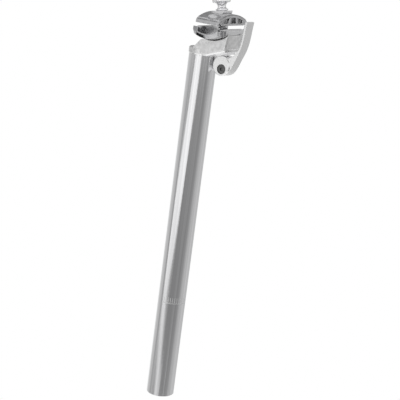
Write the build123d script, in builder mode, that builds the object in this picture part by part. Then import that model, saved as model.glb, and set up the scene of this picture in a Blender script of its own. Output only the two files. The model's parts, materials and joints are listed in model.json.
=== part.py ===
"""Bicycle seatpost with a cam-lever saddle clamp.

Millimetres, +Z up the post, +X to the rear of the bicycle, origin on the
tube's axis at its lower end.
"""

import os
from math import asin, atan2, cos, degrees, radians, sin, sqrt, tan

from build123d import *

# Tube
tube_diameter = 27.2
tube_wall = 2.3
tube_length = 345.0
tube_edge = 0.4

# Saddle rails that the clamp holds
rail_diameter = 7.0
rail_spacing = 44.0
rail_drop = 14.1
jaw_gap = 3.6

# Draw bolt, and the pivot of the cam lever on its lower end
bolt_diameter = 6.0
bolt_tilt = 12.6
pivot_x = 26.0
pivot_drop = 9.4
bolt_clearance = 0.2
eye_radius = 5.6
eye_width = 6.2

# Head
collar_radius = 14.2
collar_height = 6.2
slope_start_x = -4.0
nose_x = 3.9
nose_height = 15.1
head_width = 27.2
head_rear_x = 33.4
rear_bottom_x = 31.0
underside_start_x = 11.0
rear_bottom_height = 6.8
cradle_height = 16.1
cradle_radius = 27.4
cradle_front_x = 8.5
lower_edge_radius = 2.8
rear_edge_radius = 1.2
rear_hollow_radius = 45.0
rear_hollow_depth = 1.4
rear_lip = 2.5
cradle_edge = 0.8
collar_edge = 0.9
collar_lip = 0.6
spigot_length = 28.0
fit_clearance = 0.03

# Tilting clamp
tooth_pitch = 3.0
tooth_depth = 0.45
tilt_back = 18.0
tilt_up = 2.0
running_gap = 0.3
clamp_width = 52.0
clamp_front_x = 3.2
clamp_rear_x = 28.0
lower_front_x = 2.0
lower_rear_x = 28.0
front_wall = 5.0
rear_wall = 3.0
tail_x = 31.2
tail_width = 28.0
tail_drop = 1.0
shoulder_rise = 1.2
bevel_height = 3.4
bevel_width = 2.6
floor_thickness = 3.0
end_rim = 1.0
cap_height = 10.2
cap_end_height = 1.0
cap_end_radius = 5.0
cap_edge = 1.2
pocket_depth = 2.8
pocket_rim = 2.7
pocket_floor = 1.8
pocket_reach = 16.5
rib_width = 2.6
rib_lean = 20.0
rib_offset = 7.6
scoop_x = 18.5
scoop_radius = 9.5
scoop_depth = 2.6
scoop_reach = 19.0

# Half-round washer under the nut
washer_radius = 6.6
washer_length = 16.0
washer_rise = -0.8
washer_end_gap = 1.0

# Thumb nut
nut_gap = 0.1
nut_foot_radius = 4.6
nut_bead_radius = 5.8
nut_neck_radius = 3.8
nut_rim_radius = 8.6
nut_bead_height = 0.7
nut_neck_height = 2.4
nut_neck_length = 3.0
nut_flare_height = 6.8
nut_flare_radius = 5.4
nut_rim_height = 7.7
nut_rim_thickness = 5.0
nut_bore_depth = 10.0
thread_clearance = 0.08
flute_count = 18
flute_radius = 0.9
nut_edge = 0.9

# Cam lever
boss_radius = 9.4
eccentricity = 3.0
boss_width = 14.0
arm_width = 12.0
arm_thickness = 2.4
fork_gap = 0.3
lever_edge = 0.8
tip_x = 47.0
tip_height = 37.4
knee_x = 43.6
knee_height = 11.5
root_x = 38.6
root_height = -1.0
tip_lean = 8.0
foot_angle = 50.0
crotch_angle = 55.0
crotch_fall = 17.0

# Pivot screw and its sleeve nut
sleeve_radius = 2.9
pivot_clearance = 0.05
pivot_head_radius = 4.2
pivot_head_height = 1.6
pivot_head_sink = 0.4
pivot_head_gap = 0.4
pivot_seat_gap = 0.15
screw_radius = 2.0
screw_length = 8.0
socket_size = 3.0
socket_depth = 1.1

# Thrust pad under the head
pad_thickness = 2.6
pad_front = 5.0
pad_rear = 7.6
pad_gap = 0.3

# Spring round the bolt, between the rocker's floor and the cap
spring_radius = 3.9
spring_wire = 0.9
spring_turns = 3.0
wire_sides = 8

# Places worked out from the sizes above
tube_radius = tube_diameter / 2
bore_radius = tube_radius - tube_wall
collar_z = tube_length
rail_radius = rail_diameter / 2
bolt_radius = bolt_diameter / 2
hole_radius = bolt_radius + bolt_clearance
pivot_z = collar_z - pivot_drop
tilt_z = collar_z + cradle_height + cradle_radius
rail_z = tilt_z - rail_drop
jaw_top_z = rail_z + jaw_gap / 2
jaw_bottom_z = rail_z - jaw_gap / 2
bolt_reach = (tilt_z - pivot_z) / cos(radians(bolt_tilt))
tilt_x = pivot_x - bolt_reach * sin(radians(bolt_tilt))
bolt_dir = Vector(-sin(radians(bolt_tilt)), 0, cos(radians(bolt_tilt)))
across_dir = Vector(cos(radians(bolt_tilt)), 0, sin(radians(bolt_tilt)))
pivot_point = Vector(pivot_x, 0, pivot_z)
tilt_point = Vector(tilt_x, 0, tilt_z)
pivot_plane = Plane(origin=pivot_point, x_dir=across_dir, z_dir=bolt_dir)
tilt_plane = Plane(origin=tilt_point, x_dir=across_dir, z_dir=bolt_dir)
pivot_side = Plane(origin=pivot_point, x_dir=(1, 0, 0), z_dir=(0, -1, 0))
tilt_side = Plane(origin=tilt_point, x_dir=(1, 0, 0), z_dir=(0, -1, 0))
hull_radius = cradle_radius - running_gap
half_clamp = clamp_width / 2
half_head = head_width / 2


def cradle_z(x):
    """Height of the cradle's arc at a distance x to the rear of the post."""
    return tilt_z - sqrt(cradle_radius**2 - (x - tilt_x) ** 2)


def teeth(radius, start, end):
    """V-grooves round the tilt axis, between two angles from straight down."""
    count = int((end - start) / tooth_pitch)
    first = (start + end - (count - 1) * tooth_pitch) / 2 - 90
    with PolarLocations(radius, count, start_angle=first, angular_range=count * tooth_pitch):
        RegularPolygon(tooth_depth, 4)


# Side outline that the bolt sweeps in the clamp between its tilt limits
steep = radians(bolt_tilt + tilt_up)
flat = radians(bolt_tilt - tilt_back)
slot_side = hole_radius + running_gap
slot_foot = cradle_radius + running_gap
with BuildSketch(Plane.XZ) as bolt_slot:
    with BuildLine():
        Polyline(
            (tilt_x - slot_side / cos(flat), tilt_z),
            (tilt_x + slot_foot * tan(flat) - slot_side / cos(flat), tilt_z - slot_foot),
            (tilt_x + slot_foot * tan(steep) + slot_side / cos(steep), tilt_z - slot_foot),
            (tilt_x + slot_side / cos(steep), tilt_z),
            close=True,
        )
    make_face()

os.makedirs("parts", exist_ok=True)

# Tube, open at its lower end
with BuildPart() as post_tube:
    with BuildSketch():
        Circle(tube_radius)
        Circle(bore_radius, mode=Mode.SUBTRACT)
    extrude(amount=tube_length)
    chamfer(post_tube.faces().sort_by(Axis.Z)[0].edges(), length=tube_edge)
post_tube.part.label = "post_tube"
export_step(post_tube.part, "parts/post_tube.step")

# Forged head: round collar, sloped nose, cradle and rear arm
rear_foot = Vector(rear_bottom_x, 0, collar_z + rear_bottom_height)
rear_top = Vector(head_rear_x, 0, cradle_z(head_rear_x))
rear_up = (rear_top - rear_foot).normalized()
rear_plane = Plane(origin=rear_foot, x_dir=(rear_up.Z, 0, -rear_up.X), z_dir=rear_up)
with BuildPart() as head:
    with BuildSketch(Plane.XZ):
        with BuildLine():
            Polyline(
                (cradle_front_x, cradle_z(cradle_front_x)),
                (nose_x, collar_z + nose_height),
                (slope_start_x, collar_z + collar_height),
                (slope_start_x, collar_z),
                (underside_start_x, collar_z),
                (rear_bottom_x, collar_z + rear_bottom_height),
                (head_rear_x, cradle_z(head_rear_x)),
            )
            ThreePointArc(
                (head_rear_x, cradle_z(head_rear_x)),
                (pivot_x, cradle_z(pivot_x)),
                (cradle_front_x, cradle_z(cradle_front_x)),
            )
        make_face()
    extrude(amount=half_head, both=True)
    lower_faces = head.faces().filter_by(lambda f: f.normal_at().Z < -0.5)
    long_edges = lower_faces.edges().filter_by(lambda e: abs(e.center().Y) > half_head / 2)
    fillet(long_edges, lower_edge_radius)
    rear_face = head.faces().sort_by(Axis.X)[-1]
    rear_edges = rear_face.edges().filter_by(GeomType.LINE)
    fillet(rear_edges.filter_by(lambda e: abs(e.center().Y) > half_head / 2), rear_edge_radius)
    with BuildSketch(rear_plane.offset(rear_lip)):
        with Locations((rear_hollow_radius - rear_hollow_depth, 0)):
            Circle(rear_hollow_radius)
    extrude(amount=cradle_radius, mode=Mode.SUBTRACT)
    with BuildSketch(Plane.XZ):
        with BuildLine():
            Polyline(
                (0, collar_z),
                (collar_radius - collar_lip, collar_z),
                (collar_radius, collar_z + 2 * collar_lip),
                (collar_radius, collar_z + collar_height - collar_edge),
                (collar_radius - collar_edge, collar_z + collar_height),
                (0, collar_z + collar_height),
                close=True,
            )
        make_face()
    revolve(axis=Axis.Z)
    with BuildSketch(Plane.XY.offset(collar_z)):
        Circle(bore_radius - fit_clearance)
    extrude(amount=-spigot_length)
    seat_height = boss_radius + eccentricity + pad_gap + pad_thickness
    with BuildSketch(pivot_plane.offset(seat_height)):
        with Locations(((pad_rear * 2 - pad_front) / 2 - bolt_clearance, 0)):
            Rectangle(pad_front + pad_rear * 2, boss_width + 2 * bolt_clearance)
    extrude(amount=-pad_thickness - pad_gap, mode=Mode.SUBTRACT)
    with BuildSketch(pivot_plane):
        Circle(hole_radius)
    extrude(amount=bolt_reach, mode=Mode.SUBTRACT)
    cradle_start = degrees(asin((cradle_front_x - tilt_x) / cradle_radius))
    cradle_end = degrees(asin((head_rear_x - tilt_x) / cradle_radius))
    with BuildSketch(tilt_side):
        teeth(cradle_radius, cradle_start, cradle_end)
    extrude(amount=head_width, both=True, mode=Mode.SUBTRACT)
    with BuildSketch(Plane.YZ.offset(tilt_x)):
        for hand in (1, -1):
            with Locations((hand * half_head, tilt_z - cradle_radius)):
                RegularPolygon(cradle_edge, 4)
    revolve(axis=Axis(tilt_point, (0, 1, 0)), mode=Mode.SUBTRACT)
head.part.label = "head"
export_step(head.part, "parts/head.step")

# Hollow of the rocker, turned about the tilt axis like its hull
floor_radius = hull_radius - floor_thickness
end_radius = hull_radius - shoulder_rise - bevel_height
end_floor_radius = end_radius - end_rim
with BuildPart() as tray_hollow:
    with BuildSketch(Plane.YZ.offset(tilt_x)):
        with BuildLine():
            Polyline(
                (-half_clamp, tilt_z),
                (-half_clamp, tilt_z - end_floor_radius),
                (-half_head, tilt_z - floor_radius),
                (half_head, tilt_z - floor_radius),
                (half_clamp, tilt_z - end_floor_radius),
                (half_clamp, tilt_z),
                close=True,
            )
        make_face()
    revolve(axis=Axis(tilt_point, (0, 1, 0)))
    hollow_front_x = lower_front_x + front_wall
    hollow_rear_x = lower_rear_x - rear_wall
    with BuildSketch(Plane.XY.offset(tilt_z)):
        with Locations(((hollow_front_x + hollow_rear_x) / 2, 0)):
            Rectangle(hollow_rear_x - hollow_front_x, clamp_width)
    extrude(amount=-cradle_radius, mode=Mode.INTERSECT)

# Rocker: a turned hull, trimmed to the clamp's plan and hollowed to two rail bars
with BuildPart() as lower_clamp:
    with BuildSketch(Plane.YZ.offset(tilt_x)):
        with BuildLine():
            shoulder_y = half_clamp - bevel_width
            shoulder_z = tilt_z - hull_radius + shoulder_rise
            Polyline(
                (-half_clamp, tilt_z),
                (-half_clamp, tilt_z - end_radius),
                (-shoulder_y, shoulder_z),
                (-half_head, tilt_z - hull_radius),
                (half_head, tilt_z - hull_radius),
                (shoulder_y, shoulder_z),
                (half_clamp, tilt_z - end_radius),
                (half_clamp, tilt_z),
                close=True,
            )
        make_face()
    revolve(axis=Axis(tilt_point, (0, 1, 0)))
    with BuildSketch(Plane.XY.offset(jaw_bottom_z)):
        with Locations(((lower_front_x + lower_rear_x) / 2, 0)):
            Rectangle(lower_rear_x - lower_front_x, clamp_width)
        with Locations(((lower_front_x + tail_x) / 2, 0)):
            Rectangle(tail_x - lower_front_x, tail_width)
    extrude(amount=-cradle_radius, mode=Mode.INTERSECT)
    add(tray_hollow.part, mode=Mode.SUBTRACT)
    with BuildSketch(Plane.XY.offset(jaw_bottom_z)):
        with Locations((tail_x, 0)):
            Rectangle(2 * (tail_x - lower_rear_x), clamp_width)
    extrude(amount=-tail_drop, mode=Mode.SUBTRACT)
    hull_start = degrees(asin((lower_front_x - tilt_x) / hull_radius))
    hull_end = degrees(asin((tail_x - tilt_x) / hull_radius))
    with BuildSketch(tilt_side):
        teeth(hull_radius, hull_start, hull_end)
    extrude(amount=half_head, both=True, mode=Mode.SUBTRACT)
    with BuildSketch(Plane.YZ):
        with GridLocations(rail_spacing, 1, 2, 1):
            with Locations((0, rail_z)):
                Circle(rail_radius)
    extrude(amount=clamp_width, mode=Mode.SUBTRACT)
    extrude(bolt_slot.sketch, amount=hole_radius, both=True, mode=Mode.SUBTRACT)
lower_clamp.part.label = "lower_clamp"
export_step(lower_clamp.part, "parts/lower_clamp.step")

# Cap: a three-centred arch across the rails, with pockets in its faces and a groove for the washer
cap_end_z = jaw_top_z + cap_end_height
arch_rise = cap_height - cap_end_height
cap_length = clamp_rear_x - clamp_front_x
end_centre_y = half_clamp - cap_end_radius
crown_radius = (end_centre_y**2 + arch_rise**2 - cap_end_radius**2) / (2 * (arch_rise - cap_end_radius))
crown_z = cap_end_z + arch_rise - crown_radius
haunch = degrees(atan2(end_centre_y, cap_end_z - crown_z))
scoop_lean = asin(scoop_reach / crown_radius)
scoop_centre = crown_radius + scoop_radius - scoop_depth
with BuildPart() as upper_clamp:
    with BuildSketch(Plane.YZ.offset(clamp_front_x)):
        with BuildLine():
            Polyline(
                (half_clamp, cap_end_z),
                (half_clamp, jaw_top_z),
                (-half_clamp, jaw_top_z),
                (-half_clamp, cap_end_z),
            )
            CenterArc((end_centre_y, cap_end_z), cap_end_radius, 0, 90 - haunch)
            CenterArc((0, crown_z), crown_radius, 90 - haunch, 2 * haunch)
            CenterArc((-end_centre_y, cap_end_z), cap_end_radius, 90 + haunch, 90 - haunch)
        make_face()
    extrude(amount=cap_length)
    chamfer(upper_clamp.edges().filter_by(GeomType.CIRCLE), cap_edge)
    for face_x, inward in ((clamp_rear_x, -1), (clamp_front_x, 1)):
        with BuildSketch(Plane.YZ.offset(face_x)):
            with Locations((0, crown_z)):
                Circle(crown_radius - pocket_rim)
            with Locations((0, jaw_top_z + pocket_floor)):
                Rectangle(2 * pocket_reach, cap_height, align=(Align.CENTER, Align.MIN), mode=Mode.INTERSECT)
            for hand in (1, -1):
                with Locations(Location((hand * rib_offset, jaw_top_z, 0), (0, 0, hand * rib_lean))):
                    Rectangle(rib_width, 4 * cap_height, mode=Mode.SUBTRACT)
        extrude(amount=inward * pocket_depth, mode=Mode.SUBTRACT)
    with BuildSketch(tilt_side):
        Circle(washer_radius + running_gap)
    extrude(amount=washer_length / 2 + washer_end_gap, both=True, mode=Mode.SUBTRACT)
    for hand in (1, -1):
        scoop_y = hand * scoop_centre * sin(scoop_lean)
        scoop_z = crown_z + scoop_centre * cos(scoop_lean)
        with Locations((scoop_x, scoop_y, scoop_z)):
            Sphere(scoop_radius, mode=Mode.SUBTRACT)
    with BuildSketch(Plane.YZ):
        with GridLocations(rail_spacing, 1, 2, 1):
            with Locations((0, rail_z)):
                Circle(rail_radius)
    extrude(amount=clamp_width, mode=Mode.SUBTRACT)
    extrude(bolt_slot.sketch, amount=hole_radius, both=True, mode=Mode.SUBTRACT)
upper_clamp.part.label = "upper_clamp"
export_step(upper_clamp.part, "parts/upper_clamp.step")

# Half-round washer, flat on top, that the cap turns on
with BuildPart() as swivel_washer:
    with BuildSketch(tilt_side):
        Circle(washer_radius)
    extrude(amount=washer_length / 2, both=True)
    with BuildSketch(tilt_plane.offset(washer_rise)):
        Rectangle(4 * washer_radius, 2 * washer_length)
    extrude(amount=2 * washer_radius, mode=Mode.SUBTRACT)
    with BuildSketch(tilt_plane.offset(-washer_radius)):
        Circle(hole_radius)
    extrude(amount=2 * washer_radius, mode=Mode.SUBTRACT)
swivel_washer.part.label = "swivel_washer"
export_step(swivel_washer.part, "parts/swivel_washer.step")

# Draw bolt with an eye for the pivot
bolt_top = bolt_reach + washer_rise + nut_gap + nut_bore_depth - 2 * bolt_clearance
with BuildPart() as draw_bolt:
    with BuildSketch(pivot_side):
        Circle(eye_radius)
    extrude(amount=eye_width / 2, both=True)
    with BuildSketch(pivot_plane):
        Circle(bolt_radius)
    extrude(amount=bolt_top)
    chamfer(draw_bolt.faces().sort_by(Axis.Z)[-1].edges(), length=bolt_radius / 4)
    with BuildSketch(pivot_side):
        Circle(sleeve_radius + pivot_clearance)
    extrude(amount=bolt_radius + eye_width, both=True, mode=Mode.SUBTRACT)
draw_bolt.part.label = "draw_bolt"
export_step(draw_bolt.part, "parts/draw_bolt.step")

# Thumb nut: a turned spool with a fluted rim
nut_plane = tilt_plane.offset(washer_rise + nut_gap)
nut_height = nut_rim_height + nut_rim_thickness
nut_side = Plane(origin=nut_plane.origin, x_dir=across_dir, z_dir=(0, -1, 0))
with BuildPart() as thumb_nut:
    with BuildSketch(nut_side):
        with BuildLine():
            Polyline(
                (0, 0),
                (nut_foot_radius, 0),
                (nut_bead_radius, nut_bead_height),
                (nut_bead_radius, nut_neck_height - nut_bead_height),
                (nut_neck_radius, nut_neck_height),
                (nut_neck_radius, nut_neck_height + nut_neck_length),
                (nut_flare_radius, nut_flare_height),
                (nut_rim_radius - nut_edge, nut_rim_height),
                (nut_rim_radius, nut_rim_height + nut_edge),
                (nut_rim_radius, nut_height - nut_edge),
                (nut_rim_radius - nut_edge, nut_height),
                (0, nut_height),
                close=True,
            )
        make_face()
    revolve(axis=Axis(nut_plane.origin, bolt_dir))
    with BuildSketch(nut_plane):
        Circle(bolt_radius + thread_clearance)
    extrude(amount=nut_bore_depth, mode=Mode.SUBTRACT)
    with BuildSketch(nut_plane.offset(nut_neck_height)):
        with PolarLocations(nut_rim_radius + flute_radius / 2, flute_count):
            Circle(flute_radius)
    extrude(amount=nut_height, mode=Mode.SUBTRACT)
thumb_nut.part.label = "thumb_nut"
export_step(thumb_nut.part, "parts/thumb_nut.step")

# Cam lever: eccentric boss, forked for the eye of the bolt, and a curved arm
boss_x = pivot_x + eccentricity * bolt_dir.X
boss_z = pivot_z + eccentricity * bolt_dir.Z
tip_z = collar_z + tip_height
knee_z = collar_z + knee_height
root_z = collar_z + root_height
fork_half = eye_width / 2 + fork_gap
foot = radians(foot_angle)
crotch = radians(crotch_angle)
fall = radians(crotch_fall)
lean = radians(tip_lean)
arm_foot = (boss_x + boss_radius * cos(foot), boss_z - boss_radius * sin(foot))
arm_crotch = (boss_x + boss_radius * cos(crotch), boss_z + boss_radius * sin(crotch))
with BuildPart() as cam_lever:
    with BuildSketch(Plane.XZ):
        with BuildLine():
            Spline(
                arm_foot,
                (root_x, root_z),
                (knee_x, knee_z),
                (tip_x, tip_z),
                tangents=((sin(foot), cos(foot)), (sin(lean), cos(lean))),
            )
            Line((tip_x, tip_z), (tip_x - arm_thickness, tip_z))
            Spline(
                (tip_x - arm_thickness, tip_z),
                (knee_x - arm_thickness, knee_z),
                arm_crotch,
                tangents=((-sin(lean), -cos(lean)), (-cos(fall), -sin(fall))),
            )
            Polyline(arm_crotch, (boss_x, boss_z), arm_foot)
        make_face()
    extrude(amount=arm_width / 2, both=True)
    with BuildSketch(Plane.XZ):
        with Locations((boss_x, boss_z)):
            Circle(boss_radius)
    extrude(amount=boss_width / 2, both=True)
    boss_rims = cam_lever.edges().filter_by(lambda e: abs(e.center().Y) > (arm_width + boss_width) / 4)
    chamfer(boss_rims, lever_edge)
    fork_side = bolt_radius + 2 * fork_gap
    with BuildSketch(pivot_plane):
        with Locations((fork_side - 2 * boss_radius, 0)):
            Rectangle(4 * boss_radius, 2 * fork_half)
    extrude(amount=2 * boss_radius, both=True, mode=Mode.SUBTRACT)
    with BuildSketch(pivot_side):
        Circle(eye_radius + fork_gap)
    extrude(amount=fork_half, both=True, mode=Mode.SUBTRACT)
    with BuildSketch(pivot_side):
        Circle(sleeve_radius + pivot_clearance)
    extrude(amount=boss_width, both=True, mode=Mode.SUBTRACT)
    for side in (1, -1):
        with BuildSketch(pivot_side.offset(side * boss_width / 2)):
            Circle(pivot_head_radius + pivot_head_gap)
        extrude(amount=-side * (pivot_head_height + pivot_head_sink), mode=Mode.SUBTRACT)
cam_lever.part.label = "cam_lever"
export_step(cam_lever.part, "parts/cam_lever.step")

# Sleeve nut through the boss and the eye, its head on the far side
head_face = boss_width / 2 - pivot_head_sink
head_seat = head_face - pivot_head_height
pivot_head_thickness = pivot_head_height - pivot_seat_gap
with BuildPart() as pivot_sleeve:
    with BuildSketch(pivot_side.offset(-head_face)):
        Circle(pivot_head_radius)
    extrude(amount=pivot_head_thickness)
    with BuildSketch(pivot_side.offset(-head_face)):
        Circle(sleeve_radius)
    extrude(amount=head_face + head_seat)
    with BuildSketch(pivot_side.offset(head_seat)):
        Circle(screw_radius)
    extrude(amount=-screw_length, mode=Mode.SUBTRACT)
pivot_sleeve.part.label = "pivot_sleeve"
export_step(pivot_sleeve.part, "parts/pivot_sleeve.step")

# Socket-head screw that closes the sleeve on the near side
with BuildPart() as pivot_screw:
    with BuildSketch(pivot_side.offset(head_face)):
        Circle(pivot_head_radius)
    extrude(amount=-pivot_head_thickness)
    chamfer(pivot_screw.edges().filter_by(GeomType.CIRCLE).sort_by(Axis.Y)[0], socket_depth / 3)
    with BuildSketch(pivot_side.offset(head_seat + pivot_seat_gap)):
        Circle(screw_radius - fit_clearance)
    extrude(amount=bolt_clearance - screw_length)
    with BuildSketch(pivot_side.offset(head_face)):
        RegularPolygon(socket_size / 2, 6, major_radius=False)
    extrude(amount=-socket_depth, mode=Mode.SUBTRACT)
pivot_screw.part.label = "pivot_screw"
export_step(pivot_screw.part, "parts/pivot_screw.step")

# Thrust pad on the machined seat under the head
with BuildPart() as cam_pad:
    with BuildSketch(pivot_plane.offset(seat_height)):
        with Locations(((pad_rear - pad_front) / 2, 0)):
            Rectangle(pad_front + pad_rear, boss_width)
        Circle(hole_radius, mode=Mode.SUBTRACT)
    extrude(amount=-pad_thickness)
cam_pad.part.label = "cam_pad"
export_step(cam_pad.part, "parts/cam_pad.step")

# Spring round the bolt that holds the cap up while no rails are in
spring_low = sqrt((floor_radius - spring_wire / 2 - bolt_clearance) ** 2 - spring_radius**2)
spring_lean = spring_radius * sin(steep) + spring_wire / 2 + bolt_clearance
spring_high = (tilt_z - jaw_top_z + spring_lean) / cos(steep)
spring_rise = spring_low - spring_high
spring_foot = tilt_point - bolt_dir * spring_low
with BuildPart() as lift_spring:
    with BuildLine() as coil:
        Helix(spring_rise / spring_turns, spring_rise, spring_radius, center=spring_foot, direction=bolt_dir)
    with BuildSketch(Plane(coil.line @ 0, z_dir=coil.line % 0)):
        RegularPolygon(spring_wire / 2, wire_sides)
    sweep(path=coil.line)
lift_spring.part.label = "lift_spring"
export_step(lift_spring.part, "parts/lift_spring.step")
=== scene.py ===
"""Finish, studio and camera for a bicycle seatpost with a cam-lever saddle clamp. Metres."""

import json
import math

import bmesh
import bpy
from mathutils import Matrix, Vector
from mathutils.geometry import interpolate_bezier


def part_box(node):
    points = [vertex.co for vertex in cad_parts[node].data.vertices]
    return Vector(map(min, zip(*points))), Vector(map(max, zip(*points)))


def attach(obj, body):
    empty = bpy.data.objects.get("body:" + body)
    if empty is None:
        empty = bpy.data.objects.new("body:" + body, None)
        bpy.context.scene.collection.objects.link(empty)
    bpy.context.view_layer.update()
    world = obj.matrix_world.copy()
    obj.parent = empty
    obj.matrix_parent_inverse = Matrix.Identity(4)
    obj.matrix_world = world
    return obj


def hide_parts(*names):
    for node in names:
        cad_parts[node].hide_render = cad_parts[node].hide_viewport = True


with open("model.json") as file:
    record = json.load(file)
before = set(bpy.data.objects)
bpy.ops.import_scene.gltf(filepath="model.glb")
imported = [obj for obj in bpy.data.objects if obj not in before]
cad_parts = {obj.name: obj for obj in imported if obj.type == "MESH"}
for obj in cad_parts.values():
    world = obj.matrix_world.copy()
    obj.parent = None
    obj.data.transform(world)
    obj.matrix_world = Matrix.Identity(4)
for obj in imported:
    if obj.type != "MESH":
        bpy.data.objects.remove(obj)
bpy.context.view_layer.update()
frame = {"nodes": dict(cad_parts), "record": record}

# Post tube
# A drawn alloy tube, polished along its length, pressed onto the spigot of the head and open at its foot.
# A line with a row of ticks, etched matt, shows how deep it has to go into the frame.
tube_dark = (0.70, 0.70, 0.71)
tube_pale = (0.95, 0.95, 0.96)
tube_roughness = (0.09, 0.19)
tube_edge = 0.0003
draw_line_size = (0.0016, 0.0016, 0.4)
draw_line_detail = 6.0
draw_line_depth = 0.00001
noise_middle = (0.3, 0.7)
rounding_samples = 6


class Metal:
    """A metal finish, with the sockets that carry its colour and its roughness."""

    def __init__(self, name):
        self.material = bpy.data.materials.new(name)
        self.material.use_nodes = True
        self.tree = self.material.node_tree
        self.shader = self.tree.nodes["Principled BSDF"]
        self.shader.inputs["Metallic"].default_value = 1.0

    def coat(self, colour, roughness):
        """Gives the metal a colour and a roughness that vary over its surface."""
        self.colour = colour
        self.roughness = roughness
        self.tree.links.new(colour, self.shader.inputs["Base Color"])
        self.tree.links.new(roughness, self.shader.inputs["Roughness"])


def feed(tree, source, socket):
    """Gives a socket a plain value, or links it to another socket."""
    if isinstance(source, bpy.types.NodeSocket):
        tree.links.new(source, socket)
    else:
        socket.default_value = source


def rescale(tree, value, start, end, low=0.0, high=1.0):
    """A value that runs from start to end, brought to run from low to high and held there."""
    levels = tree.nodes.new("ShaderNodeMapRange")
    levels.inputs["From Min"].default_value = start
    levels.inputs["From Max"].default_value = end
    levels.inputs["To Min"].default_value = low
    levels.inputs["To Max"].default_value = high
    tree.links.new(value, levels.inputs["Value"])
    return levels.outputs["Result"]


def mix(tree, kind, share, first, second):
    """A mix of two values of one kind, each a plain value or a socket."""
    blend = tree.nodes.new("ShaderNodeMix")
    blend.data_type = kind
    tree.links.new(share, blend.inputs["Factor"])
    feed(tree, first, blend.inputs["A"])
    feed(tree, second, blend.inputs["B"])
    return blend.outputs["Result"]


def grain(tree, size, detail):
    """Noise on the piece's own coordinates. The size of a grain is given along x, y and z."""
    place = tree.nodes.new("ShaderNodeTexCoord")
    fit = tree.nodes.new("ShaderNodeMapping")
    fit.inputs["Scale"].default_value = [1.0 / length for length in size]
    noise = tree.nodes.new("ShaderNodeTexNoise")
    noise.inputs["Scale"].default_value = 1.0
    noise.inputs["Detail"].default_value = detail
    tree.links.new(place.outputs["Object"], fit.inputs["Vector"])
    tree.links.new(fit.outputs["Vector"], noise.inputs["Vector"])
    return noise.outputs["Fac"]


def spread(tree, noise, low, high):
    """A noise's middle stretch, spread between two levels."""
    return rescale(tree, noise, *noise_middle, low, high)


def mottle(metal, noise, dark, pale, smooth, rough):
    """Lets a noise vary the colour of a metal between two shades, and its roughness with it."""
    share = spread(metal.tree, noise, 0.0, 1.0)
    colour = mix(metal.tree, "RGBA", share, (*dark, 1.0), (*pale, 1.0))
    metal.coat(colour, spread(metal.tree, noise, smooth, rough))


def paint_patch(metal, share, colour, roughness):
    """Gives a share of the surface another colour and roughness. It paints marks and finishes, and also
    painted highlights and painted shade.
    """
    tint = mix(metal.tree, "RGBA", share, metal.colour, (*colour, 1.0))
    metal.coat(tint, mix(metal.tree, "FLOAT", share, metal.roughness, roughness))


def rounded(tree, radius, samples):
    """The direction of the surface, with its edges rounded to a radius."""
    bevel = tree.nodes.new("ShaderNodeBevel")
    bevel.samples = samples
    bevel.inputs["Radius"].default_value = radius
    return bevel.outputs["Normal"]


def relief(metal, noise, depth, edge):
    """Raises the surface by a noise of the given depth, and rounds its edges to a small radius."""
    bump = metal.tree.nodes.new("ShaderNodeBump")
    bump.inputs["Strength"].default_value = 1.0
    bump.inputs["Distance"].default_value = depth
    metal.tree.links.new(noise, bump.inputs["Height"])
    metal.tree.links.new(rounded(metal.tree, edge, rounding_samples), bump.inputs["Normal"])
    metal.tree.links.new(bump.outputs["Normal"], metal.shader.inputs["Normal"])


def dress(node, metal):
    """Puts a metal on every slot of a piece."""
    for place in frame["nodes"][node].material_slots:
        place.material = metal.material


def own_place(tree):
    """The X, Y and Z of the surface in the piece's own coordinates."""
    place = tree.nodes.new("ShaderNodeTexCoord")
    split = tree.nodes.new("ShaderNodeSeparateXYZ")
    tree.links.new(place.outputs["Object"], split.inputs["Vector"])
    return split.outputs


def work_out(tree, operation, *values):
    """The result of a plain operation on values, each a number or a socket."""
    maths = tree.nodes.new("ShaderNodeMath")
    maths.operation = operation
    for value, socket in zip(values, maths.inputs):
        feed(tree, value, socket)
    return maths.outputs["Value"]


tube_alloy = Metal("drawn_alloy")
tube_tree = tube_alloy.tree
draw_lines = grain(tube_tree, draw_line_size, draw_line_detail)
mottle(tube_alloy, draw_lines, tube_dark, tube_pale, *tube_roughness)

mark_colour = (0.74, 0.74, 0.74)
mark_roughness = 0.5
mark_height = 0.099
mark_line = 0.0006
mark_middle = math.radians(-45.0)
mark_reach = math.radians(50.0)
tick_pitch = math.radians(9.0)
tick_width = math.radians(2.2)
tick_height = 0.006
tube_place = own_place(tube_tree)
mark_turn = work_out(tube_tree, "ARCTAN2", tube_place["Y"], tube_place["X"])
tick_turn = work_out(tube_tree, "PINGPONG", mark_turn, tick_pitch / 2)
ticks = work_out(tube_tree, "COMPARE", tick_turn, 0.0, tick_width / 2)
tick_band = work_out(tube_tree, "COMPARE", tube_place["Z"], mark_height + tick_height / 2, tick_height / 2)
line_band = work_out(tube_tree, "COMPARE", tube_place["Z"], mark_height, mark_line / 2)
mark_span = work_out(tube_tree, "COMPARE", mark_turn, mark_middle, mark_reach)
tick_row = work_out(tube_tree, "MULTIPLY", ticks, tick_band)
mark_band = work_out(tube_tree, "MAXIMUM", tick_row, line_band)
paint_patch(tube_alloy, work_out(tube_tree, "MULTIPLY", mark_band, mark_span), mark_colour, mark_roughness)
relief(tube_alloy, draw_lines, draw_line_depth, tube_edge)
dress("post_tube", tube_alloy)

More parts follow.
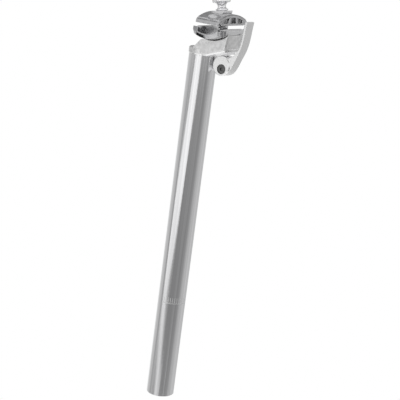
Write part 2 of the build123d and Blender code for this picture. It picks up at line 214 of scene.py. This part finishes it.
# Head
# A forged head, blasted to an even pale grain. Its spigot is pressed into the tube, and its upper
# face is a curved cradle that the rocker tilts in.
head_dark = (0.68, 0.68, 0.68)
head_pale = (0.90, 0.90, 0.90)
head_roughness = (0.28, 0.42)
head_blotch_size = 3 * [0.0035]
head_blotch_detail = 5.0
head_edge = 0.0006
blast_size = 3 * [0.0006]
blast_detail = 2.0
blast_depth = 0.00006
underside_highlight_cosines = (0.12, 0.50)
head_highlight_roughness = 0.16
head_highlight_width = 0.0008
painted_highlight_colour = (0.95, 0.95, 0.95)
edge_highlight_cosines = (0.985, 0.90)
edge_highlight_samples = 8


def likeness(tree, first, second):
    """The cosine of the angle between two directions."""
    product = tree.nodes.new("ShaderNodeVectorMath")
    product.operation = "DOT_PRODUCT"
    feed(tree, first, product.inputs[0])
    feed(tree, second, product.inputs[1])
    return product.outputs["Value"]


def turned_to(tree, direction, start, end):
    """How far the surface is turned to one of its piece's directions: 0 at a cosine of start, 1 at end."""
    facing = tree.nodes.new("ShaderNodeTexCoord")
    return rescale(tree, likeness(tree, facing.outputs["Normal"], direction), start, end)


def paint_edge_highlights(metal, width, colour, roughness):
    """Paints the sharp edges of a piece bright over the given width, as a painted highlight."""
    facing = metal.tree.nodes.new("ShaderNodeNewGeometry")
    bent = rounded(metal.tree, width, edge_highlight_samples)
    edge_share = rescale(metal.tree, likeness(metal.tree, bent, facing.outputs["Normal"]), *edge_highlight_cosines)
    paint_patch(metal, edge_share, colour, roughness)


head_alloy = Metal("blasted_alloy")
head_blotch = grain(head_alloy.tree, head_blotch_size, head_blotch_detail)
mottle(head_alloy, head_blotch, head_dark, head_pale, *head_roughness)
# Painted highlight: the faces turned downwards are painted bright and smoother, standing in for the light
# that the floor throws up onto them.
head_underside_highlight = turned_to(head_alloy.tree, (0, 0, -1), *underside_highlight_cosines)
paint_patch(head_alloy, head_underside_highlight, painted_highlight_colour, head_highlight_roughness)
# Painted highlight along the sharp edges of the head.
paint_edge_highlights(head_alloy, head_highlight_width, painted_highlight_colour, head_highlight_roughness)
relief(head_alloy, grain(head_alloy.tree, blast_size, blast_detail), blast_depth, head_edge)
dress("head", head_alloy)

# Rocker
# A forged alloy tray with a turned hull, polished outside and cut dull at its ends. It lies in the
# cradle, and its two bars carry the rails of the saddle in shallow grooves.
rocker_dark = (0.38, 0.38, 0.39)
rocker_pale = (0.62, 0.62, 0.63)
rocker_roughness = (0.08, 0.20)
rocker_blotch_size = 3 * [0.004]
rocker_blotch_detail = 4.0
rocker_blotch_depth = 0.0001
rocker_edge = 0.0004
rocker_sawn = (0.36, 0.36, 0.37)
rocker_sawn_roughness = 0.32
rocker_side_highlight = (0.80, 0.80, 0.81)
rocker_side_highlight_roughness = 0.16
rocker_hollow_shade = (0.52, 0.52, 0.52)
rocker_hollow_shade_reach = 0.006
rocker_highlight_width = 0.0006
rocker_highlight_roughness = 0.10
square_cosines = (0.86, 0.97)
hollow_shade_open = (0.25, 0.80)
hollow_shade_samples = 8


def turned_along(tree, direction, start, end):
    """How far the surface is turned to a direction or to its opposite."""
    ahead = turned_to(tree, direction, start, end)
    behind = turned_to(tree, [-part for part in direction], start, end)
    return work_out(tree, "MAXIMUM", ahead, behind)


def paint_hollow_shade(metal, shade_colour, reach):
    """Paints shade into the hollows of a piece: the less open space about a point, the nearer its colour
    comes to the shade colour.
    """
    hollow = metal.tree.nodes.new("ShaderNodeAmbientOcclusion")
    hollow.samples = hollow_shade_samples
    hollow.inputs["Distance"].default_value = reach
    unshaded = rescale(metal.tree, hollow.outputs["AO"], *hollow_shade_open)
    metal.coat(mix(metal.tree, "RGBA", unshaded, (*shade_colour, 1.0), metal.colour), metal.roughness)


rocker_alloy = Metal("polished_forging")
rocker_blotch = grain(rocker_alloy.tree, rocker_blotch_size, rocker_blotch_detail)
mottle(rocker_alloy, rocker_blotch, rocker_dark, rocker_pale, *rocker_roughness)
rocker_ends = turned_along(rocker_alloy.tree, (0, 1, 0), *square_cosines)
paint_patch(rocker_alloy, rocker_ends, rocker_sawn, rocker_sawn_roughness)
# Painted highlight: the outer faces of the bars are painted lighter and smoother.
rocker_sides_lit = turned_along(rocker_alloy.tree, (1, 0, 0), *square_cosines)
paint_patch(rocker_alloy, rocker_sides_lit, rocker_side_highlight, rocker_side_highlight_roughness)
# Painted shade in the hollows of the rocker.
paint_hollow_shade(rocker_alloy, rocker_hollow_shade, rocker_hollow_shade_reach)
# Painted highlight along the sharp edges of the rocker.
paint_edge_highlights(rocker_alloy, rocker_highlight_width, painted_highlight_colour, rocker_highlight_roughness)
relief(rocker_alloy, rocker_blotch, rocker_blotch_depth, rocker_edge)
dress("lower_clamp", rocker_alloy)

# Cap
# A forged arch with ribbed pockets in its faces and a scoop on each shoulder, left satin.
# It stands over the rocker and is pressed onto the rails by the washer.
cap_dark = (0.48, 0.48, 0.49)
cap_pale = (0.61, 0.61, 0.62)
cap_roughness = (0.20, 0.34)
cap_blotch_size = 3 * [0.003]
cap_blotch_detail = 4.0
cap_blotch_depth = 0.00003
cap_edge = 0.0006
cap_hollow_shade = (0.26, 0.26, 0.26)
cap_hollow_shade_reach = 0.003
cap_highlight_width = 0.0006
cap_highlight_roughness = 0.18
cap_alloy = Metal("satin_forging")
cap_blotch = grain(cap_alloy.tree, cap_blotch_size, cap_blotch_detail)
mottle(cap_alloy, cap_blotch, cap_dark, cap_pale, *cap_roughness)
# Painted shade in the hollows and pockets of the cap.
paint_hollow_shade(cap_alloy, cap_hollow_shade, cap_hollow_shade_reach)
# Painted highlight along the sharp edges of the cap.
paint_edge_highlights(cap_alloy, cap_highlight_width, painted_highlight_colour, cap_highlight_roughness)
relief(cap_alloy, cap_blotch, cap_blotch_depth, cap_edge)
dress("upper_clamp", cap_alloy)

# Washer and thrust pad
# The half-round washer lies in the groove of the cap, and the flat pad in its seat under the head.
# Both are steel, ground and plated.
washer_dark = (0.84, 0.84, 0.85)
washer_pale = (0.95, 0.95, 0.96)
washer_roughness = (0.12, 0.22)
washer_blotch_size = 3 * [0.002]
washer_blotch_detail = 4.0
washer_blotch_depth = 0.00002
washer_edge = 0.0003
washer_steel = Metal("plated_steel")
washer_blotch = grain(washer_steel.tree, washer_blotch_size, washer_blotch_detail)
mottle(washer_steel, washer_blotch, washer_dark, washer_pale, *washer_roughness)
relief(washer_steel, washer_blotch, washer_blotch_depth, washer_edge)
dress("swivel_washer", washer_steel)
dress("cam_pad", washer_steel)

# Draw bolt
# A plated steel bolt with an eye at its foot and a rolled thread up its shank. It passes up through
# head, rocker, cap and washer, and the nut screws onto its top.
joints = {joint["name"]: joint for joint in frame["record"]["behaviour"]["joints"]}
pivot_place = Vector(joints["lever_swing"]["pos_m"])
tilt_place = Vector(joints["saddle_tilt"]["pos_m"])
bolt_line = (tilt_place - pivot_place).normalized()
bolt_side = Vector((0.0, 1.0, 0.0))
bolt_front = bolt_side.cross(bolt_line)
bolt_radius = 0.003
bolt_length = 0.0631
bolt_point = 0.0008
bolt_sides = 32
shank_start = 0.0042
thread_start = 0.026
thread_runout = 0.002
thread_pitch = 0.001
thread_depth = 0.0006
thread_rows = 8
thread_crest = 0.15
thread_flank = 0.70
eye_radius = 0.0056
eye_hole = 0.00295
eye_half = 0.0031
eye_edge = 0.0005
eye_sides = 64
sharp_angle = math.radians(25.0)
bolt_dark = (0.78, 0.78, 0.79)
bolt_pale = (0.90, 0.90, 0.91)
bolt_roughness = (0.22, 0.40)
bolt_blotch_size = 3 * [0.002]
bolt_blotch_detail = 4.0
bolt_blotch_depth = 0.00001
bolt_edge = 0.0001


def share_of(value, start, length):
    """How far a value has come along a stretch, from 0 to 1."""
    return max(0.0, min(1.0, (value - start) / length))


def bolt_reach(rise, turn):
    """Radius of the bolt at a height and an angle: a plain shank, then a thread that ends in a point."""
    phase = (rise / thread_pitch - turn / (2 * math.pi)) % 1.0
    groove = share_of(abs(2 * phase - 1), thread_crest, thread_flank)
    runout = share_of(rise, thread_start, thread_runout)
    point = bolt_point * share_of(rise, bolt_length - bolt_point, bolt_point)
    return min(bolt_radius - thread_depth * groove * runout, bolt_radius - point)


def turns_of(count, shift=0.0):
    """The angles of even steps round a circle."""
    return [2 * math.pi * (step + shift) / count for step in range(count)]


def point_about(centre, first, second, turn, radius):
    """A point at an angle and a radius about a centre, in the plane of two directions."""
    return centre + radius * (math.cos(turn) * first + math.sin(turn) * second)


def placed(name, data):
    """A new object in the scene, with the mesh, curve or camera that it holds."""
    thing = bpy.data.objects.new(name, data)
    bpy.context.scene.collection.objects.link(thing)
    return thing


def ring_form(name, rings, closed):
    """A solid form over rings of points. A closed one joins its last ring to its first."""
    count = len(rings[0])
    faces = []
    for row in range(len(rings) if closed else len(rings) - 1):
        below = row * count
        above = (row + 1) % len(rings) * count
        for side in range(count):
            after = (side + 1) % count
            faces.append((below + side, below + after, above + after, above + side))
    if not closed:
        last = (len(rings) - 1) * count
        faces.append(tuple(range(count)))
        faces.append(tuple(range(last, last + count)))
    mesh = bpy.data.meshes.new(name)
    mesh.from_pydata([point for ring in rings for point in ring], [], faces)
    build = bmesh.new()
    build.from_mesh(mesh)
    bmesh.ops.recalc_face_normals(build, faces=build.faces)
    build.to_mesh(mesh)
    build.free()
    return placed(name, mesh)


thread_length = bolt_length - thread_start
thread_steps = math.ceil(thread_length / thread_pitch * thread_rows)
shank_heights = [shank_start]
for step in range(thread_steps + 1):
    shank_heights.append(thread_start + thread_length * step / thread_steps)
bolt_turns = turns_of(bolt_sides, 0.5)
shank_rings = []
for rise in shank_heights:
    centre = pivot_place + rise * bolt_line
    shank_rings.append(
        [point_about(centre, bolt_front, bolt_side, turn, bolt_reach(rise, turn)) for turn in bolt_turns]
    )
eye_profile = (
    (eye_radius - eye_edge, -eye_half),
    (eye_radius, eye_edge - eye_half),
    (eye_radius, eye_half - eye_edge),
    (eye_radius - eye_edge, eye_half),
    (eye_hole + eye_edge, eye_half),
    (eye_hole, eye_half - eye_edge),
    (eye_hole, eye_edge - eye_half),
    (eye_hole + eye_edge, -eye_half),
)
eye_turns = turns_of(eye_sides)
eye_rings = []
for radius, across in eye_profile:
    centre = pivot_place + across * bolt_side
    eye_rings.append([point_about(centre, bolt_front, bolt_line, turn, radius) for turn in eye_turns])
bolt = ring_form("threaded_bolt", shank_rings, closed=False)
eye = ring_form("bolt_eye", eye_rings, closed=True)
forging = bolt.modifiers.new("forged_eye", "BOOLEAN")
forging.operation = "UNION"
forging.solver = "EXACT"
forging.object = eye
bolt_mesh = bpy.data.meshes.new_from_object(bolt.evaluated_get(bpy.context.evaluated_depsgraph_get()))
bolt.modifiers.clear()
bolt.data = bolt_mesh
bpy.data.objects.remove(eye)
bolt_mesh.shade_smooth()
bolt_mesh.set_sharp_from_angle(angle=sharp_angle)
bolt_steel = Metal("plated_bolt")
bolt_blotch = grain(bolt_steel.tree, bolt_blotch_size, bolt_blotch_detail)
mottle(bolt_steel, bolt_blotch, bolt_dark, bolt_pale, *bolt_roughness)
relief(bolt_steel, bolt_blotch, bolt_blotch_depth, bolt_edge)
bolt_mesh.materials.append(bolt_steel.material)
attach(bolt, "root")
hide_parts("draw_bolt")

# Thumb nut
# A turned brass spool with a smooth waist and a fluted rim, bright chrome plated. It screws onto the
# bolt above the washer.
nut_drop = 0.0007
nut_bore = 0.00308
nut_bore_depth = 0.0100
nut_foot_radius = 0.0046
nut_sides = 216
bead_radius = 0.0058
bead_low = 0.0007
bead_high = 0.0017
bead_pull = 0.0009
waist_radius = 0.0038
waist_height = 0.0040
waist_pull = 0.0016
waist_points = 12
rim_radius = 0.0086
rim_low = 0.0086
rim_high = 0.0118
rim_edge = 0.0009
rim_pull = 0.0027
flute_count = 18
flute_radius = 0.0009
flute_centre = rim_radius + flute_radius / 2
nut_colour = (0.92, 0.92, 0.93)
nut_roughness = (0.04, 0.10)
nut_blotch_size = 3 * [0.003]
nut_blotch_detail = 3.0
nut_blotch_depth = 0.00001
nut_edge = 0.0003


def nut_reach(radius, turn):
    """Radius of the nut at an angle, where the flutes cut into its rim."""
    pitch = 2 * math.pi / flute_count
    aside = abs((turn + pitch / 2) % pitch - pitch / 2)
    offset = flute_centre * math.sin(aside)
    if offset >= flute_radius:
        return radius
    return min(radius, flute_centre * math.cos(aside) - math.sqrt(flute_radius**2 - offset**2))


rim_foot = (rim_radius - rim_edge, rim_low - rim_edge)
lower_waist = interpolate_bezier(
    (bead_radius, bead_high),
    (bead_radius - bead_pull, bead_high),
    (waist_radius, waist_height - waist_pull),
    (waist_radius, waist_height),
    waist_points,
)
upper_waist = interpolate_bezier(
    (waist_radius, waist_height),
    (waist_radius, waist_height + waist_pull),
    (rim_foot[0] - rim_pull, rim_foot[1]),
    rim_foot,
    waist_points,
)
nut_profile = [
    (nut_bore, nut_bore_depth),
    (nut_bore, 0.0),
    (nut_foot_radius, 0.0),
    (bead_radius, bead_low),
    *lower_waist,
    *upper_waist[1:],
    (rim_radius, rim_low),
    (rim_radius, rim_high),
    (rim_radius - rim_edge, rim_high + rim_edge),
]
nut_turns = turns_of(nut_sides)
nut_rings = []
for radius, rise in nut_profile:
    centre = tilt_place + (rise - nut_drop) * bolt_line
    nut_rings.append(
        [point_about(centre, bolt_front, bolt_side, turn, nut_reach(radius, turn)) for turn in nut_turns]
    )
nut = ring_form("turned_nut", nut_rings, closed=False)
nut.data.shade_smooth()
nut.data.set_sharp_from_angle(angle=sharp_angle)
nut_chrome = Metal("bright_chrome")
nut_chrome.shader.inputs["Base Color"].default_value = (*nut_colour, 1.0)
nut_blotch = grain(nut_chrome.tree, nut_blotch_size, nut_blotch_detail)
nut_gloss = spread(nut_chrome.tree, nut_blotch, *nut_roughness)
nut_chrome.tree.links.new(nut_gloss, nut_chrome.shader.inputs["Roughness"])
relief(nut_chrome, nut_blotch, nut_blotch_depth, nut_edge)
nut.data.materials.append(nut_chrome.material)
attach(nut, "nut")
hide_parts("thumb_nut")

# Cam lever
# A forged lever with an eccentric boss, brushed along the arm and clear finished.
# Its fork straddles the eye of the bolt, and the pivot screw goes through both.
lever_dark = (0.87, 0.87, 0.87)
lever_pale = (0.97, 0.97, 0.97)
lever_roughness = (0.18, 0.30)
lever_line_size = (0.0012, 0.0012, 0.008)
lever_line_detail = 4.0
lever_line_depth = 0.00004
lever_edge = 0.0007
lever_front_cosines = (0.30, 0.60)
lever_front_painted_light = (0.96, 0.96, 0.96)
lever_front_roughness = 0.45
lever_back_cosines = (0.45, 0.80)
lever_back_painted_shade = (0.83, 0.83, 0.83)
lever_back_roughness = 0.26
lever_cheek_roughness = 0.42
lever_highlight_width = 0.0006
lever_highlight_roughness = 0.14
lever_alloy = Metal("brushed_forging")
lever_lines = grain(lever_alloy.tree, lever_line_size, lever_line_detail)
mottle(lever_alloy, lever_lines, lever_dark, lever_pale, *lever_roughness)
# Painted light: the faces turned towards the tube, which lie in shade, are painted pale and matt.
lever_front_lit = turned_to(lever_alloy.tree, (-1, 0, 0), *lever_front_cosines)
paint_patch(lever_alloy, lever_front_lit, lever_front_painted_light, lever_front_roughness)
# Painted shade: the faces turned away from the tube are painted darker.
lever_back_shaded = turned_to(lever_alloy.tree, (1, 0, 0), *lever_back_cosines)
paint_patch(lever_alloy, lever_back_shaded, lever_back_painted_shade, lever_back_roughness)
# Painted light: the faces turned to either side, the boss among them, are painted at the pale end of the
# lever's shades, and rougher.
lever_cheeks_lit = turned_along(lever_alloy.tree, (0, 1, 0), *square_cosines)
paint_patch(lever_alloy, lever_cheeks_lit, lever_pale, lever_cheek_roughness)
# Painted highlight along the sharp edges of the lever.
paint_edge_highlights(lever_alloy, lever_highlight_width, lever_pale, lever_highlight_roughness)
relief(lever_alloy, lever_lines, lever_line_depth, lever_edge)
dress("cam_lever", lever_alloy)

# Pivot screw and sleeve nut
# A steel socket screw and the sleeve nut that it screws into, both black oxide.
# They pass through the lever's fork and the eye of the bolt, and hold the two together.
pivot_dark = (0.11, 0.11, 0.11)
pivot_pale = (0.20, 0.20, 0.20)
pivot_roughness = (0.28, 0.46)
pivot_blotch_size = 3 * [0.0015]
pivot_blotch_detail = 3.0
pivot_blotch_depth = 0.00002
pivot_edge = 0.0002
pivot_steel = Metal("black_oxide")
pivot_blotch = grain(pivot_steel.tree, pivot_blotch_size, pivot_blotch_detail)
mottle(pivot_steel, pivot_blotch, pivot_dark, pivot_pale, *pivot_roughness)
relief(pivot_steel, pivot_blotch, pivot_blotch_depth, pivot_edge)
dress("pivot_screw", pivot_steel)
dress("pivot_sleeve", pivot_steel)

# Lift spring
# Round drawn steel wire, coiled about the bolt between the rocker and the cap. It holds the cap up
# while no rails lie in the clamp.
spring_radius = 0.0039
spring_wire = 0.0009
spring_foot_drop = 0.02312
spring_top_drop = 0.01440
spring_turns = 3.0
turn_points = 16
wire_roundness = 4
coil_smoothness = 4
coil_order = 4
spring_dark = (0.28, 0.28, 0.29)
spring_pale = (0.42, 0.42, 0.43)
spring_roughness = (0.22, 0.40)
spring_blotch_size = 3 * [0.001]
spring_blotch_detail = 3.0
spring_steps = round(spring_turns * turn_points)
spring_path = []
for step in range(spring_steps + 1):
    turn = 2 * math.pi * step / turn_points
    drop = spring_foot_drop + (spring_top_drop - spring_foot_drop) * step / spring_steps
    centre = tilt_place - drop * bolt_line
    spring_path.append(point_about(centre, bolt_front, bolt_side, turn, spring_radius))
spring_curve = bpy.data.curves.new("coiled_spring", "CURVE")
spring_curve.dimensions = "3D"
spring_curve.bevel_depth = spring_wire / 2
spring_curve.bevel_resolution = wire_roundness
spring_curve.use_fill_caps = True
spring_curve.resolution_u = coil_smoothness
spring_line = spring_curve.splines.new("NURBS")
spring_line.points.add(len(spring_path) - 1)
for point, place in zip(spring_line.points, spring_path):
    point.co = (*place, 1.0)
spring_line.order_u = coil_order
spring_line.use_endpoint_u = True
spring = placed("coiled_spring", spring_curve)
spring_steel = Metal("spring_wire")
spring_blotch = grain(spring_steel.tree, spring_blotch_size, spring_blotch_detail)
mottle(spring_steel, spring_blotch, spring_dark, spring_pale, *spring_roughness)
spring_curve.materials.append(spring_steel.material)
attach(spring, "root")
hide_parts("lift_spring")

# Floor
# A plain pale floor, well below the post, which is held up by its tube. The camera and the bright
# metal see it as plain white.
floor_drop = 0.85
floor_half = 6.0
floor_colour = (0.8, 0.8, 0.8)
floor_mesh = bpy.data.meshes.new("floor")
floor_corners = [
    (-floor_half, -floor_half, -floor_drop),
    (floor_half, -floor_half, -floor_drop),
    (floor_half, floor_half, -floor_drop),
    (-floor_half, floor_half, -floor_drop),
]
floor_mesh.from_pydata(floor_corners, [], [(0, 1, 2, 3)])
floor = placed("floor", floor_mesh)
floor_paint = bpy.data.materials.new("floor_paint")
floor_paint.use_nodes = True
floor_tree = floor_paint.node_tree
floor_tree.nodes.clear()
floor_diffuse = floor_tree.nodes.new("ShaderNodeBsdfDiffuse")
floor_diffuse.inputs["Color"].default_value = (*floor_colour, 1.0)
floor_white = floor_tree.nodes.new("ShaderNodeEmission")
floor_white.inputs["Color"].default_value = (1.0, 1.0, 1.0, 1.0)
floor_path = floor_tree.nodes.new("ShaderNodeLightPath")
floor_choice = floor_tree.nodes.new("ShaderNodeMixShader")
floor_out = floor_tree.nodes.new("ShaderNodeOutputMaterial")
floor_seen = work_out(
    floor_tree, "MAXIMUM", floor_path.outputs["Is Camera Ray"], floor_path.outputs["Is Glossy Ray"]
)
floor_seen = work_out(floor_tree, "MAXIMUM", floor_seen, floor_path.outputs["Is Transmission Ray"])
floor_tree.links.new(floor_seen, floor_choice.inputs["Fac"])
floor_tree.links.new(floor_diffuse.outputs["BSDF"], floor_choice.inputs[1])
floor_tree.links.new(floor_white.outputs["Emission"], floor_choice.inputs[2])
floor_tree.links.new(floor_choice.outputs["Shader"], floor_out.inputs["Surface"])
floor_mesh.materials.append(floor_paint)

# Light tent
# A round wall of grey cloth with a flat roof stands about the post, so that the bright metal has
# something to mirror. Low down it is darkest behind the camera, and above the head behind the post.
tent_radius = 1.6
tent_top = 1.6
tent_sides = 96
view_azimuth = 33.0
low_cloth = (
    (-180, 0.80), (-126, 0.60), (-95, 0.41), (-20, 0.28), (45, 0.29), (100, 0.54), (150, 0.56), (180, 0.80),
)
high_cloth = (
    (-180, 0.32), (-130, 0.55), (-90, 0.74), (-60, 0.74), (0, 0.55), (100, 0.60), (155, 0.28), (180, 0.32),
)
low_cloth_top = 0.08
high_cloth_foot = 0.40
roof_level = 0.32


def tent_place(angle, height, radius):
    """A place in the tent, at an angle from the camera in degrees."""
    turn = math.radians(angle + view_azimuth - 90.0)
    return (radius * math.cos(turn), radius * math.sin(turn), height)


def cloth_panel(name, points, faces, level=1.0):
    """A glowing panel that lights and mirrors, but isn't seen. Returns its glow."""
    mesh = bpy.data.meshes.new(name)
    mesh.from_pydata(points, [], faces)
    panel = placed(name, mesh)
    panel.visible_camera = False
    panel.visible_shadow = False
    cloth = bpy.data.materials.new(name + "_cloth")
    cloth.use_nodes = True
    tree = cloth.node_tree
    tree.nodes.clear()
    glow = tree.nodes.new("ShaderNodeEmission")
    glow.inputs["Strength"].default_value = level
    out = tree.nodes.new("ShaderNodeOutputMaterial")
    tree.links.new(glow.outputs["Emission"], out.inputs["Surface"])
    mesh.materials.append(cloth)
    return glow


def round_levels(tree, levels, angle):
    """Levels of glow at angles round the tent, in degrees from the camera."""
    ramp = tree.nodes.new("ShaderNodeValToRGB")
    points = ramp.color_ramp.elements
    for turn, level in levels[1:-1]:
        points.new((turn + 180.0) / 360.0).color = (level, level, level, 1.0)
    first = levels[0][1]
    last = levels[-1][1]
    points[0].color = (first, first, first, 1.0)
    points[len(points) - 1].color = (last, last, last, 1.0)
    tree.links.new(angle, ramp.inputs["Fac"])
    return ramp.outputs["Color"]


wall_points = []
wall_faces = []
for step in range(tent_sides):
    angle = 360.0 * step / tent_sides
    after = (step + 1) % tent_sides
    wall_points.append(tent_place(angle, -floor_drop, tent_radius))
    wall_points.append(tent_place(angle, tent_top, tent_radius))
    wall_faces.append((2 * step, 2 * step + 1, 2 * after + 1, 2 * after))
wall_glow = cloth_panel("tent_wall", wall_points, wall_faces)
wall_tree = wall_glow.id_data
wall_place = wall_tree.nodes.new("ShaderNodeTexCoord")
wall_turn = wall_tree.nodes.new("ShaderNodeMapping")
wall_turn.inputs["Rotation"].default_value = (0.0, 0.0, math.radians(90.0 - view_azimuth))
wall_angle = wall_tree.nodes.new("ShaderNodeTexGradient")
wall_angle.gradient_type = "RADIAL"
wall_tree.links.new(wall_place.outputs["Object"], wall_turn.inputs["Vector"])
wall_tree.links.new(wall_turn.outputs["Vector"], wall_angle.inputs["Vector"])
wall_rise = rescale(wall_tree, own_place(wall_tree)["Z"], low_cloth_top, high_cloth_foot)
wall_low = round_levels(wall_tree, low_cloth, wall_angle.outputs["Fac"])
wall_high = round_levels(wall_tree, high_cloth, wall_angle.outputs["Fac"])
wall_tree.links.new(mix(wall_tree, "RGBA", wall_rise, wall_low, wall_high), wall_glow.inputs["Color"])
roof_points = wall_points[1::2]
roof_faces = [tuple(range(tent_sides))]
cloth_panel("tent_roof", roof_points, roof_faces, roof_level)

# Softbox
# A tall lit cloth to the left of the camera, with a crooked outline and a dimmer foot. The tube mirrors
# it as one long bright streak. It hangs just inside the wall of the tent.
light_radius = 1.55
softbox_outline = (
    (-0.80, -48, -22),
    (-0.62, -54, -6),
    (-0.42, -84, -52),
    (-0.20, -87, -25),
    (0.08, -67, -13),
    (0.40, -47, -6),
    (0.75, -45, -10),
)
softbox_level = 1.04
softbox_foot_level = 0.65
softbox_full_height = -0.10
panel_columns = 12


def light_panel(name, outline, level=1.0):
    """A panel along the wall. Its outline gives its left and right edge, in degrees, at a few heights."""
    points = []
    faces = []
    for height, left, right in outline:
        for column in range(panel_columns + 1):
            points.append(tent_place(left + (right - left) * column / panel_columns, height, light_radius))
    for row in range(len(outline) - 1):
        for column in range(panel_columns):
            corner = row * (panel_columns + 1) + column
            above = corner + panel_columns + 1
            faces.append((corner, corner + 1, above + 1, above))
    return cloth_panel(name, points, faces, level)


softbox_foot = softbox_outline[0][0]
softbox_glow = light_panel("softbox", softbox_outline)
softbox_tree = softbox_glow.id_data
softbox_height = own_place(softbox_tree)["Z"]
softbox_rise = rescale(
    softbox_tree, softbox_height, softbox_foot, softbox_full_height, softbox_foot_level, softbox_level
)
softbox_tree.links.new(softbox_rise, softbox_glow.inputs["Strength"])

# Fill panel
# A broad lit cloth high to the right of the camera, which widens upwards. It hangs just inside the
# wall of the tent and lights the lever's side of the clamp.
fill_outline = ((0.26, 6, 104), (0.42, 4, 110), (1.20, -30, 135))
fill_level = 0.86
light_panel("fill_panel", fill_outline, fill_level)

# Skylight
# A long oval of lit cloth, hung flat under the roof of the tent. It lights the upper faces of the
# clamp and the lever.
skylight_half = (1.10, 0.62)
skylight_gap = 0.05
skylight_shift = 0.10
skylight_level = 1.0
skylight_points = []
for x, y, z in roof_points:
    along = x / tent_radius * skylight_half[0] + skylight_shift
    across = y / tent_radius * skylight_half[1]
    skylight_points.append((along, across, z - skylight_gap))
cloth_panel("skylight", skylight_points, roof_faces, skylight_level)

# Black card
# A card of black board that lies flat on the floor, to the left of the post and beyond it, so that
# polished edges that face it show dark.
card_level = 0.02
card_rise = 0.01
card_near = 0.80
card_far = 1.55
card_left = -142.0
card_right = -98.0
card_height = card_rise - floor_drop
card_points = [
    tent_place(card_left, card_height, card_near),
    tent_place(card_left, card_height, card_far),
    tent_place(card_right, card_height, card_far),
    tent_place(card_right, card_height, card_near),
]
cloth_panel("black_card", card_points, [(0, 1, 2, 3)], card_level)

# White surround
# A plain white world, with no lamp or picture in it. The camera doesn't see the tent, so past the edge
# of the floor it sees this white.
world = bpy.data.worlds.new("white_surround")
bpy.context.scene.world = world
world.use_nodes = True
world.node_tree.nodes["Background"].inputs["Color"].default_value = (1.0, 1.0, 1.0, 1.0)
world.node_tree.nodes["Background"].inputs["Strength"].default_value = 1.0
bpy.context.scene.view_settings.view_transform = "Standard"

# Camera
# It stands on the right, a little to the rear and above the head, and looks down at the clamp and the
# upper tube. It leans to one side, so that the post slants in the frame.
collar_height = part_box("post_tube")[1].z
view_distance = 1.1
view_elevation = math.radians(7.0)
view_rise = view_distance * math.tan(view_elevation)
aim_yaw = math.radians(0.77)
aim_pitch = math.radians(-14.1)
aim_roll = math.radians(7.51)
lens_length = 104.94
film_width = 36.0
swing = Matrix.Rotation(math.radians(view_azimuth), 3, "Z")
level = swing @ Vector((math.cos(aim_yaw), -math.sin(aim_yaw), 0.0))
onward = swing @ Vector((math.sin(aim_yaw), math.cos(aim_yaw), 0.0))
ahead = math.cos(aim_pitch) * onward + math.sin(aim_pitch) * Vector((0.0, 0.0, 1.0))
over = level.cross(ahead)
right = math.cos(aim_roll) * level + math.sin(aim_roll) * over
upward = math.cos(aim_roll) * over - math.sin(aim_roll) * level
stand = swing @ Vector((0.0, -view_distance, collar_height + view_rise))
camera_data = bpy.data.cameras.new("camera")
camera_data.lens = lens_length
camera_data.sensor_width = film_width
camera = placed("camera", camera_data)
camera.matrix_world = Matrix.Translation(stand) @ Matrix((right, upward, -ahead)).transposed().to_4x4()
bpy.context.scene.camera = camera
